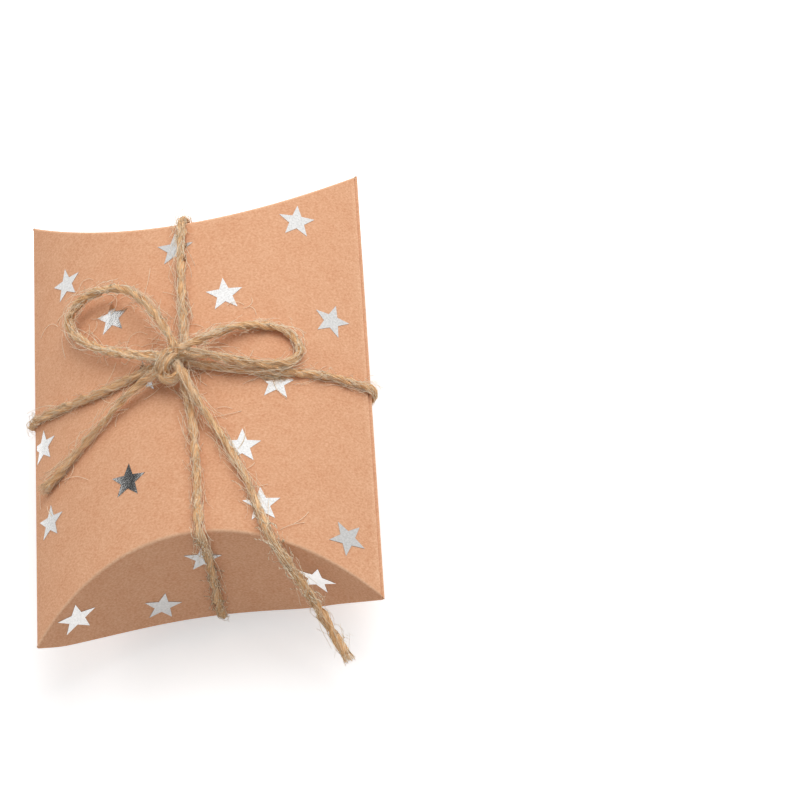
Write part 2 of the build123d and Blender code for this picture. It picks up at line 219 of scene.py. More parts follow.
class TwineFinish(bpy.types.PropertyGroup):
    """Make-up of the twine."""

    diameter: bpy.props.FloatProperty(
        name="Diameter", description="Width of the twine", default=2 * MM, unit="LENGTH"
    )
    pitch: bpy.props.FloatProperty(
        name="Lay", description="Length of one turn of the plies", default=9 * MM, unit="LENGTH"
    )
    fibres: bpy.props.IntProperty(
        name="Fibres", description="Fibres round each of the two plies", default=18, min=3
    )
    hairs: bpy.props.FloatProperty(
        name="Stray fibres", description="Stray fibres on each millimetre of twine", default=4.5, min=0
    )
    colour: bpy.props.StringProperty(name="Jute", description="Jute colour, sRGB hex", default="FBCF9C")


class StageLight(bpy.types.PropertyGroup):
    """Camera and lamps."""

    camera_place: bpy.props.FloatVectorProperty(
        name="Camera place",
        description="Where the camera stands",
        default=(0.12398, -0.29004, 0.53399),
        subtype="TRANSLATION",
    )
    azimuth: bpy.props.FloatProperty(
        name="Azimuth", description="Camera's turn round the box", default=radians(16.87), subtype="ANGLE"
    )
    elevation: bpy.props.FloatProperty(
        name="Elevation", description="Camera's height over the floor",
        default=radians(60.08), subtype="ANGLE",
    )
    roll: bpy.props.FloatProperty(
        name="Roll", description="Camera's turn about its own axis", default=radians(23.3), subtype="ANGLE"
    )
    lens: bpy.props.FloatProperty(name="Lens", description="Focal length in millimetres", default=145.6)
    key: bpy.props.FloatProperty(name="Key", description="Power of the key lamp", default=4, unit="POWER")
    side: bpy.props.FloatProperty(
        name="Side", description="Power of the side lamp", default=0.5, unit="POWER"
    )
    sky: bpy.props.FloatProperty(name="Sky", description="Strength of the soft light all round", default=0.45)


def smooth_step(low, high, value):
    """0 before low, 1 after high, and an even rise between them."""
    share = min(max((value - low) / (high - low), 0), 1)
    return share * share * (3 - 2 * share)


def panel_rise(x):
    """Height of the top panel's face over the middle plane."""
    return sqrt(max(PANEL_RADIUS**2 - x * x, 0)) - PANEL_DROP


def wall_out(x, height):
    """How far from the middle an outer flap's face stands, at a height over the middle plane."""
    return (WALL_AXIS - sqrt(WALL_RADIUS**2 - x * x)) / LEAN_COS - height * LEAN_TAN


def crease_out(x):
    """How far from the middle the bottom panel's crease runs."""
    return CREASE_Y + CREASE_RADIUS - sqrt(CREASE_RADIUS**2 - x * x)


def linear(hex_colour):
    """Linear colour from an sRGB hex value."""
    parts = [int(hex_colour[at : at + 2], 16) / 255 for at in (0, 2, 4)]
    return [part / 12.92 if part <= 0.04045 else ((part + 0.055) / 1.055) ** 2.4 for part in parts] + [1]


def add_node(tree, kind, settings=None, links=None):
    """Add a node: settings are its own properties or its inputs' values, links lead to its inputs.

    A link comes from a socket, or from a node's first output.
    """
    node = tree.nodes.new(kind)
    for name, value in (settings or {}).items():
        if isinstance(name, str) and hasattr(node, name):
            setattr(node, name, value)
        else:
            node.inputs[name].default_value = value
    for name, source in (links or {}).items():
        tree.links.new(getattr(source, "outputs", [source])[0], node.inputs[name])
    return node


def new_material(name):
    """A new material and its empty node tree."""
    material = bpy.data.materials.new(name)
    material.use_nodes = True
    material.node_tree.nodes.clear()
    return material, material.node_tree


def finish_material(material, settings, links=None):
    """The material, with its shader added."""
    tree = material.node_tree
    shader = add_node(tree, "ShaderNodeBsdfPrincipled", settings, links)
    add_node(tree, "ShaderNodeOutputMaterial", links={"Surface": shader})
    return material


def kraft_card(name, colour):
    """Uncoated kraft card, machine-pressed: matt, with soft wisps of pulp, and creases paler partly from wear
    and partly as a painted highlight.
    """
    card, tree = new_material(name)
    place = add_node(tree, "ShaderNodeTexCoord").outputs["Object"]
    # Pulp lies mostly across the box. Its wisps are drawn about 0.35 mm wide, coarser than real ones, to show
    lay = add_node(
        tree, "ShaderNodeMapping",
        {"Rotation": (0, 0, 0.15), "Scale": (2.3 / MM, 3 / MM, 3 / MM)}, {"Vector": place},
    )
    wisps = add_node(tree, "ShaderNodeTexNoise", {"Scale": 1, "Detail": 3, "Roughness": 0.6}, {"Vector": lay})
    clouds = add_node(
        tree, "ShaderNodeTexNoise", {"Scale": 1 / (4 * MM), "Detail": 3, "Roughness": 0.6}, {"Vector": place}
    )
    wisp_tone, cloud_tone = (
        add_node(
            tree, "ShaderNodeMapRange",
            {"From Min": 0.3, "From Max": 0.7, "To Min": -depth, "To Max": depth}, {"Value": pattern},
        )
        for pattern, depth in ((wisps, 0.18), (clouds, 0.04))
    )
    soft_tone = add_node(tree, "ShaderNodeMath", {"operation": "ADD"}, {0: wisp_tone, 1: cloud_tone})
    # Paler creases: partly wear, partly a painted highlight along the lit folds
    worn_and_highlit = add_node(tree, "ShaderNodeAttribute", {"attribute_name": "worn_and_highlit"}).outputs["Fac"]
    grain_wear_and_highlight_tone = add_node(
        tree, "ShaderNodeMath", {"operation": "MULTIPLY_ADD", 1: 0.24}, {0: worn_and_highlit, 2: soft_tone}
    )
    # Bare pulp is greyer than the card, so wisps, wear and the painted crease highlight pale its colour more
    # than they lighten it
    toned = add_node(
        tree, "ShaderNodeVectorMath",
        {"operation": "MULTIPLY_ADD", 0: linear("B2B7A2")[:3], 2: linear(colour)[:3]}, {1: grain_wear_and_highlight_tone},
    )
    bump = add_node(tree, "ShaderNodeBump", {"Strength": 0.15, "Distance": 0.03 * MM}, {"Height": wisps})
    return finish_material(
        card, {"Roughness": 0.82, "Specular IOR Level": 0.25}, {"Base Color": toned, "Normal": bump}
    )


def pressed_foil(colour):
    """Hot-pressed silver foil: bright metal that takes on the card's grain, with some stars painted duller as
    painted reflection.
    """
    foil, tree = new_material("silver_hot_foil")
    place = add_node(tree, "ShaderNodeTexCoord").outputs["Object"]
    fine_place = add_node(tree, "ShaderNodeMapping", {"Scale": [2.8 / MM] * 3}, {"Vector": place})
    # Grain of about 0.35 mm, coarser than the real one, so that it shows
    grain = add_node(
        tree, "ShaderNodeTexNoise", {"Scale": 1, "Detail": 3, "Roughness": 0.65}, {"Vector": fine_place}
    )
    waves = add_node(tree, "ShaderNodeTexNoise", {"Scale": 1 / (4 * MM), "Detail": 1}, {"Vector": place})
    grain_tone = add_node(
        tree, "ShaderNodeMapRange",
        {"From Min": 0.35, "From Max": 0.65, "To Min": 0.87, "To Max": 1.04}, {"Value": grain},
    )
    # Each star's own brightness is painted reflection: it dulls the stars that stand in for darker
    # reflections
    pressed = add_node(tree, "ShaderNodeAttribute", {"attribute_name": "foil_painted_reflection"}).outputs["Fac"]
    tone = add_node(tree, "ShaderNodeMath", {"operation": "MULTIPLY"}, {0: grain_tone, 1: pressed})
    toned = add_node(
        tree, "ShaderNodeVectorMath", {"operation": "SCALE", 0: linear(colour)[:3]}, {"Scale": tone}
    )
    slow = add_node(tree, "ShaderNodeBump", {"Strength": 0.35, "Distance": 0.25 * MM}, {"Height": waves})
    fine = add_node(
        tree, "ShaderNodeBump", {"Strength": 0.6, "Distance": 0.03 * MM}, {"Height": grain, "Normal": slow}
    )
    return finish_material(foil, {"Metallic": 1, "Roughness": 0.12}, {"Base Color": toned, "Normal": fine})


def jute(colour):
    """Spun jute: straw-coloured fibres in streaks along the lay, dull, with a soft fuzz."""
    fibre, tree = new_material("natural_jute_fibre")
    lay = add_node(tree, "ShaderNodeAttribute", {"attribute_name": "twine_lay"}).outputs["Vector"]
    shade = add_node(tree, "ShaderNodeAttribute", {"attribute_name": "fibre_shade"}).outputs["Fac"]
    # Streaks of about 0.25 mm on a lay that is given in millimetres
    streaks = add_node(
        tree, "ShaderNodeTexNoise", {"Scale": 1 / 0.25, "Detail": 3, "Roughness": 0.6}, {"Vector": lay}
    )
    tone = add_node(tree, "ShaderNodeMath", {"operation": "ADD"}, {0: streaks, 1: shade})
    ramp = add_node(tree, "ShaderNodeValToRGB", links={"Fac": tone})
    dark, pale = ramp.color_ramp.elements
    dark.position = 0.2
    dark.color = linear("D49F68")
    pale.position = 0.85
    pale.color = linear("FFEFD6")
    middle = ramp.color_ramp.elements.new(0.5)
    middle.color = linear(colour)
    bump = add_node(tree, "ShaderNodeBump", {"Strength": 0.4, "Distance": 0.06 * MM}, {"Height": streaks})
    fuzz = {"Sheen Weight": 0.8, "Sheen Roughness": 0.5, "Sheen Tint": linear("FFE3B8")}
    return finish_material(
        fibre, {"Roughness": 0.85, "Specular IOR Level": 0.2, **fuzz}, {"Base Color": ramp, "Normal": bump}
    )


def dried_glue():
    """Dried white glue: a dull, slightly yellow film with fine bubbles."""
    glue, tree = new_material("dried_glue")
    place = add_node(tree, "ShaderNodeTexCoord").outputs["Object"]
    bubbles = add_node(tree, "ShaderNodeTexNoise", {"Scale": 1 / (1.2 * MM), "Detail": 3}, {"Vector": place})
    ramp = add_node(tree, "ShaderNodeValToRGB", links={"Fac": bubbles})
    ramp.color_ramp.elements[0].color = linear("D8CDB4")
    ramp.color_ramp.elements[1].color = linear("EDE6D4")
    return finish_material(glue, {"Roughness": 0.45}, {"Base Color": ramp})


def material(name, make, *settings):
    """A material by its name, made the first time it is asked for."""
    return bpy.data.materials.get(name) or make(*settings)


def card_materials(piece):
    """Card on a piece's faces, and its paler cut edge on the rim."""
    colour = bpy.context.scene.box_finish.card_colour
    piece.data.materials.append(material("uncoated_kraft_card", kraft_card, "uncoated_kraft_card", colour))
    piece.data.materials.append(material("kraft_card_cut_edge", kraft_card, "kraft_card_cut_edge", "D9AC88"))


def name_piece(name):
    """The piece that was made last, with its name and its mesh's."""
    piece = bpy.context.object
    piece.name = name
    piece.data.name = name
    return piece


def thicken(piece, name, thickness, rim=0):
    """Give a sheet its thickness inwards, with a material of its own on the rim, and smooth its faces."""
    wall = piece.modifiers.new(name, "SOLIDIFY")
    wall.thickness = thickness
    wall.offset = -1
    wall.material_offset_rim = rim
    bpy.ops.object.modifier_apply(modifier=wall.name)
    bpy.ops.object.shade_smooth_by_angle(angle=radians(40))


def bend_grid(name, columns, rows, place, wear_and_highlight=None):
    """A grid of card bent to a form.

    place gives the spot for shares 0 to 1 across and along, and the second function how much paler the card
    is there, partly from wear and partly as painted highlight.
    """
    bpy.ops.object.select_all(action="DESELECT")
    bpy.ops.mesh.primitive_grid_add(x_subdivisions=columns, y_subdivisions=rows, size=1)
    piece = name_piece(name)
    worn_and_highlit = piece.data.attributes.new("worn_and_highlit", "FLOAT", "POINT")
    for vertex in piece.data.vertices:
        across, along = vertex.co.x + 0.5, vertex.co.y + 0.5
        worn_and_highlit.data[vertex.index].value = wear_and_highlight(across, along) if wear_and_highlight else 0
        vertex.co = place(across, along)
    card_materials(piece)
    thicken(piece, "Card", CARD, rim=1)
    return piece


def share_swing(piece, shares):
    """Bake a piece's transform into its mesh; the shares are not used."""
    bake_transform(piece)


def share_fold(piece, weigh):
    """Weigh each point of a piece on a flap by its own place, and bake the piece's transform into its mesh.
    """
    share_swing(piece, [weigh(vertex.co) for vertex in piece.data.vertices])


def outer_share(place):
    """Share of the swing on an outer flap, so that it opens along its curved crease."""
    rise = panel_rise(place.x)
    down = MIDDLE_Z + rise - place.z
    if down <= 0:
        return 0.0
    crease = wall_out(place.x, rise) - CREASE_Y
    low = PANEL_BULGE - rise
    closed = atan2(low + down, crease + LEAN_TAN * down)
    opened = atan2(low, crease + down / LEAN_COS)
    return min((closed - opened) / FLAP_SWING, 1) * smooth_step(0, CARD, down)


def inner_share(place):
    """Share of the swing on an inner flap, so that it is pushed in along its curved crease."""
    rise = panel_rise(place.x)
    up = place.z - (MIDDLE_Z - rise + CARD)
    if up <= 0:
        return 0.0
    crease = crease_out(place.x) - CREASE_Y
    low = PANEL_BULGE - rise
    closed = atan2(low + up, crease)
    pushed = atan2(low + up * cos(DUST_SWING), crease - up * sin(DUST_SWING))
    return min((pushed - closed) / DUST_SWING, 1) * smooth_step(0, CARD, up)


def fold_circle(edge_radius):
    """Middle of a side fold's rounding, and the turn at which it leaves the panel."""
    across = sqrt((PANEL_RADIUS - edge_radius) ** 2 - PANEL_DROP**2)
    return across, atan2(PANEL_DROP, across)


class FAVORBOX_OT_top_panel(bpy.types.Operator):
    """Bow the top panel up between its creases, from the left fold to the seam's cut edge"""

    bl_idname = "favorbox.top_panel"
    bl_label = "Top panel"

    def execute(self, context):
        edge_radius = context.scene.box_finish.edge_radius
        fold_x, fold_turn = fold_circle(edge_radius)
        fold_share = 0.06
        seam_turn = atan2(panel_rise(SEAM_X) + PANEL_DROP, SEAM_X)

        def place(across, along):
            if across < fold_share:
                turn = pi - fold_turn * across / fold_share
                x = -fold_x + edge_radius * cos(turn)
                rise = edge_radius * sin(turn)
            else:
                bow_start = pi - fold_turn
                turn = bow_start + (seam_turn - bow_start) * (across - fold_share) / (1 - fold_share)
                x = PANEL_RADIUS * cos(turn)
                rise = PANEL_RADIUS * sin(turn) - PANEL_DROP
            reach = wall_out(x, rise) - STRIP
            return x, reach * (2 * along - 1), MIDDLE_Z + rise

        def wear_and_highlight(across, along):
            # Paler left fold and seam edge: partly wear, partly painted highlight
            left_fold = 1 - smooth_step(0, fold_share, across)
            seam = smooth_step(0.985, 1, across)
            return 0.6 * left_fold + 0.5 * seam

        piece = bend_grid("top_panel_card", columns=170, rows=24, place=place, wear_and_highlight=wear_and_highlight)
        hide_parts("top_panel")
        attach(piece, "box")
        return {"FINISHED"}


def tip_rise(x, edge_radius):
    """Half the height of an outer flap, down to its rounded tip at the left fold."""
    fold_x, fold_turn = fold_circle(edge_radius)
    if x > -fold_x - edge_radius * cos(fold_turn):
        return panel_rise(x)
    return sqrt(max(edge_radius**2 - (x + fold_x) ** 2, TIP_HALF**2))


def free_edge(x, rise):
    """Height of an outer flap's free edge over the middle plane, with its bend and its dent."""
    wave = cos(pi * (x + 5 * MM) / (32 * MM))
    bend = EDGE_BEND * wave * smooth_step(0, 4 * MM, rise) * (1 - smooth_step(12 * MM, 24 * MM, x))
    dent = EDGE_DENT * exp(-((x / (0.6 * MM)) ** 2))
    return -rise + bend + dent


def outer_flap(name, end, finish):
    """One outer flap: a strip of the top panel, its rounded crease and the leaning lens below it."""
    left = -fold_circle(finish.edge_radius)[0] - finish.edge_radius + 0.03 * MM
    tangent = finish.fold_radius * tan(FLAP_SWING / 2)
    # Shares of the grid where the wall goes over into the crease, and the crease into the strip
    wall_end, crease_end = 0.6, 0.9

    def place(across, along):
        across = across if end < 0 else 1 - across
        x = left + (SEAM_X - left) * across
        rise = tip_rise(x, finish.edge_radius)
        cut = min(tangent, 0.9 * rise)
        radius = cut / tan(FLAP_SWING / 2)
        crease = wall_out(x, rise)
        if along < wall_end:
            low = free_edge(x, rise)
            height = low + (rise - low - cut * LEAN_COS) * along / wall_end
            out = wall_out(x, height)
        elif along < crease_end:
            turn = FLAP_SWING * (crease_end - along) / (crease_end - wall_end)
            out = crease - cut + radius * sin(turn)
            height = rise - radius * (1 - cos(turn))
        else:
            out = crease - cut - max(STRIP - cut, 0) * (along - crease_end) / (1 - crease_end)
            height = rise
        return x, end * out, MIDDLE_Z + height

    def wear_and_highlight(across, along):
        # Paler band along the crease: partly wear, partly a painted highlight on the lit crease
        return smooth_step(wall_end, 0.75, along) * (1 - smooth_step(0.78, 0.93, along))

    return bend_grid(name, columns=150, rows=40, place=place, wear_and_highlight=wear_and_highlight)


class FAVORBOX_OT_outer_flaps(bpy.types.Operator):
    """Hang the outer flaps from the top panel's curved creases"""

    bl_idname = "favorbox.outer_flaps"
    bl_label = "Outer flaps"

    def execute(self, context):
        for end, side in ENDS:
            piece = outer_flap(f"{side}_outer_flap_card", end, context.scene.box_finish)
            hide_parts(f"{side}_outer_flap")
            share_fold(piece, outer_share)
        return {"FINISHED"}


def dust_edge(x):
    """Height of an inner flap's free edge over the middle plane, with its thumb notch."""
    top = PANEL_BULGE - DUST_EDGE_DROP
    edge = top - DUST_EDGE_RADIUS + sqrt(DUST_EDGE_RADIUS**2 - x * x)
    if abs(x) < NOTCH_RADIUS:
        edge = min(edge, top - NOTCH_DEPTH + NOTCH_RADIUS - sqrt(NOTCH_RADIUS**2 - x * x))
    return edge


def dust_strip(x):
    """Width of the bottom panel that goes with an inner flap."""
    return STRIP * (1 - smooth_step(DUST_HALF_SPAN - 2 * MM, DUST_HALF_SPAN, abs(x)))


class FAVORBOX_OT_bottom_panel(bpy.types.Operator):
    """Bow the bottom panel down, and fold its right edge up and under the top panel as the glue tab"""

    bl_idname = "favorbox.bottom_panel"
    bl_label = "Bottom panel and glue tab"

    def execute(self, context):
        edge_radius = context.scene.box_finish.edge_radius
        fold_x, fold_turn = fold_circle(edge_radius)
        fold_steps, bow_steps, tab_steps = 8, 151, 24
        profile = []
        for step in range(fold_steps + 1):
            turn = pi + fold_turn * step / fold_steps
            profile.append((-fold_x + edge_radius * cos(turn), edge_radius * sin(turn)))
        for step in range(1, bow_steps):
            turn = pi + fold_turn + (pi - 2 * fold_turn) * step / bow_steps
            profile.append((PANEL_RADIUS * cos(turn), PANEL_RADIUS * sin(turn) + PANEL_DROP))
        fold_row = len(profile)
        # The seam's fold, and the step down under the top panel's cut edge
        for x, rise in ((32.08, -0.36), (32.24, -0.2), (32.28, -0.04), (32.2, 0.07), (32.02, 0.1),
                        (31.75, 0.03), (31.5, 0.08)):
            profile.append((x * MM, rise * MM))
        tab_row = len(profile)
        tab_start = 31.1 * MM
        for step in range(tab_steps + 1):
            x = tab_start + (TAB_X - tab_start) * step / tab_steps
            profile.append((x, sqrt(TAB_RADIUS**2 - x * x) - PANEL_DROP))

        def row(across):
            return round(across * (len(profile) - 1))

        def place(across, along):
            at = row(across)
            x, rise = profile[at]
            if at >= tab_row:
                share = (x - TAB_X) / (HALF_WIDTH - TAB_X)
                reach = TAB_EDGE_HALF + (TAB_FOLD_HALF - TAB_EDGE_HALF) * share
            elif at > len(profile) / 2 and x > SEAM_X + 0.05 * MM:
                reach = wall_out(x, rise) - 0.05 * MM
            else:
                reach = min(crease_out(x) - dust_strip(x), wall_out(x, rise) - CARD - FLAP_CLEARANCE)
            return x, reach * (1 - 2 * along), MIDDLE_Z + rise

        def wear_and_highlight(across, along):
            # Painted light: the seam's fold is drawn paler to lift a band that renders darker in the shade
            # between fold and cut edge
            return 0.5 if fold_row <= row(across) < tab_row else 0

        piece = bend_grid("bottom_panel_card", columns=len(profile) - 1, rows=24, place=place, wear_and_highlight=wear_and_highlight)
        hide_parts("bottom_panel", "glue_tab")
        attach(piece, "box")
        return {"FINISHED"}


class FAVORBOX_OT_inner_flaps(bpy.types.Operator):
    """Stand the inner flaps on the bottom panel's creases, with a thumb notch in each"""

    bl_idname = "favorbox.inner_flaps"
    bl_label = "Inner flaps"

    def execute(self, context):
        fold_radius = context.scene.box_finish.fold_radius
        half_span = DUST_HALF_SPAN - 0.3 * MM
        # Shares of the grid where the strip goes over into the crease, and the crease into the wall
        strip_end, crease_end = 0.1, 0.4
        for end, side in ENDS:

            def place(across, along):
                across = across if end > 0 else 1 - across
                x = half_span * (2 * across - 1)
                low = -panel_rise(x)
                top = max(dust_edge(x), low + CARD + 0.3 * MM)
                strip = dust_strip(x)
                cut = min(fold_radius, 0.6 * strip + 0.02 * MM, 0.45 * (top - low))
                crease = crease_out(x)
                if along < strip_end:
                    out = crease - strip + (strip - cut) * along / strip_end
                    height = low
                elif along < crease_end:
                    turn = (along - strip_end) / (crease_end - strip_end) * pi / 2
                    out = crease - cut + cut * sin(turn)
                    height = low + cut * (1 - cos(turn))
                else:
                    out = crease
                    height = low + cut + (top - low - cut) * (along - crease_end) / (1 - crease_end)
                return x, end * out, MIDDLE_Z + height

            piece = bend_grid(f"{side}_inner_flap_card", columns=140, rows=40, place=place)
            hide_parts(f"{side}_inner_flap")
            share_fold(piece, inner_share)
        return {"FINISHED"}


def star_patch(name, finish):
    """A flat star with fine faces, about the origin, its first tip along x."""
    bpy.ops.object.select_all(action="DESELECT")
    bpy.ops.mesh.primitive_circle_add(vertices=10, radius=finish.star_radius, fill_type="TRIFAN")
    star = bpy.context.object
    star.name = name
    for vertex in star.data.vertices:
        if vertex.co.length > 0:
            turn = atan2(vertex.co.x, vertex.co.y)
            tip = round(turn / (pi / 5)) % 2 == 0
            radius = finish.star_radius if tip else finish.star_waist
            vertex.co = (radius * cos(turn), radius * sin(turn), 0)
    bpy.ops.object.mode_set(mode="EDIT")
    bpy.ops.mesh.select_all(action="SELECT")
    bpy.ops.mesh.subdivide(number_cuts=5)
    bpy.ops.object.mode_set(mode="OBJECT")
    return star


def press_stars(name, spots, finish, place):
    """Stars pressed on a face: place puts a star's point, across and along from a spot, on that face."""
    stars = []
    for across, along, turn, painted_reflection in spots:
        star = star_patch(name, finish)
        # The star's brightness is painted reflection, kept on its points
        tone = star.data.attributes.new("foil_painted_reflection", "FLOAT", "POINT")
        tone.data.foreach_set("value", [painted_reflection] * len(star.data.vertices))
        angle = radians(turn)
        for vertex in star.data.vertices:
            x, y = vertex.co.x, vertex.co.y
            side = x * cos(angle) - y * sin(angle)
            up = x * sin(angle) + y * cos(angle)
            vertex.co = place(across * MM, along * MM, side, up)
        stars.append(star)
    bpy.ops.object.select_all(action="DESELECT")
    for star in stars:
        star.select_set(True)
    bpy.context.view_layer.objects.active = stars[0]
    bpy.ops.object.join()
    piece = name_piece(name)
    piece.data.materials.append(material("silver_hot_foil", pressed_foil, finish.foil_colour))
    thicken(piece, "Foil", 0.8 * finish.foil)
    return piece


class FAVORBOX_OT_stars(bpy.types.Operator):
    """Press foil stars on both panels and both outer flaps"""

    bl_idname = "favorbox.stars"
    bl_label = "Foil stars"

    def execute(self, context):
        finish = context.scene.box_finish
        for side, spots in (("top", TOP_STARS), ("bottom", BOTTOM_STARS)):
            up = 1 if side == "top" else -1

            def place(across, along, aside, ahead):
                limit = fold_circle(finish.edge_radius)[0]
                middle = atan2(across, sqrt(PANEL_RADIUS**2 - across**2))
                turn = middle + aside / PANEL_RADIUS
                x = (PANEL_RADIUS + finish.foil) * sin(turn)
                rise = (PANEL_RADIUS + finish.foil) * cos(turn) - PANEL_DROP
                if x < -limit:
                    x = -limit
                    rise = panel_rise(x) + finish.foil
                return x, along + up * ahead, MIDDLE_Z + up * rise

            piece = press_stars(f"{side}_panel_foil_stars", spots, finish, place)
            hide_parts(f"{side}_panel_stars")
            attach(piece, "box")
        for (end, side), spots in zip(ENDS, (FRONT_STARS, REAR_STARS)):

            def place(across, along, aside, ahead):
                x = across + aside
                height = along + ahead
                return x * -end, end * (wall_out(x, height) + finish.foil), MIDDLE_Z + height

            piece = press_stars(f"{side}_flap_foil_stars", spots, finish, place)
            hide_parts(f"{side}_flap_stars")
            share_fold(piece, outer_share)
        return {"FINISHED"}


def over_panel(route):
    """Route points over the top panel, in metres."""
    return [Vector((x * MM, y * MM, MIDDLE_Z + panel_rise(x * MM) + rise * MM)) for x, y, rise in route]


def over_middle(route):
    """Route points over the middle plane, in metres."""
    return [Vector((x * MM, y * MM, MIDDLE_Z + z * MM)) for x, y, z in route]


def add_spline(curve, route):
    """Add a smooth spline to a curve, with a route's points as its control points."""
    spline = curve.splines.new("NURBS")
    spline.points.add(len(route) - 1)
    for point, place in zip(spline.points, route):
        point.co = (*place, 1)
    spline.order_u = 3
    spline.use_endpoint_u = True
    return spline


def spline_points(route, spacing):
    """Evenly spaced points along a smooth spline that follows a route."""
    curve = bpy.data.curves.new("route", "CURVE")
    curve.dimensions = "3D"
    curve.resolution_u = 24
    add_spline(curve, route)
    holder = bpy.data.objects.new("route", curve)
    bpy.context.scene.collection.objects.link(holder)
    graph = bpy.context.evaluated_depsgraph_get()
    mesh = bpy.data.meshes.new_from_object(holder.evaluated_get(graph))
    dense = [vertex.co.copy() for vertex in mesh.vertices]
    bpy.data.objects.remove(holder)
    bpy.data.curves.remove(curve)
    bpy.data.meshes.remove(mesh)
    lengths = [0.0]
    for before, after in zip(dense, dense[1:]):
        lengths.append(lengths[-1] + (after - before).length)
    count = max(round(lengths[-1] / spacing), 2)
    points = []
    at = 0
    for step in range(count + 1):
        wanted = lengths[-1] * step / count
        while at < len(dense) - 2 and lengths[at + 1] < wanted:
            at += 1
        span = max(lengths[at + 1] - lengths[at], 1e-9)
        points.append(dense[at].lerp(dense[at + 1], (wanted - lengths[at]) / span))
    return points


def away_from_box(place):
    """Direction out of the box at a place near its face."""
    half_size = Vector((HALF_WIDTH, HALF_LENGTH, PANEL_BULGE))
    offset = place - Vector((0, 0, MIDDLE_Z))
    return Vector([part / size**2 for part, size in zip(offset, half_size)]).normalized()


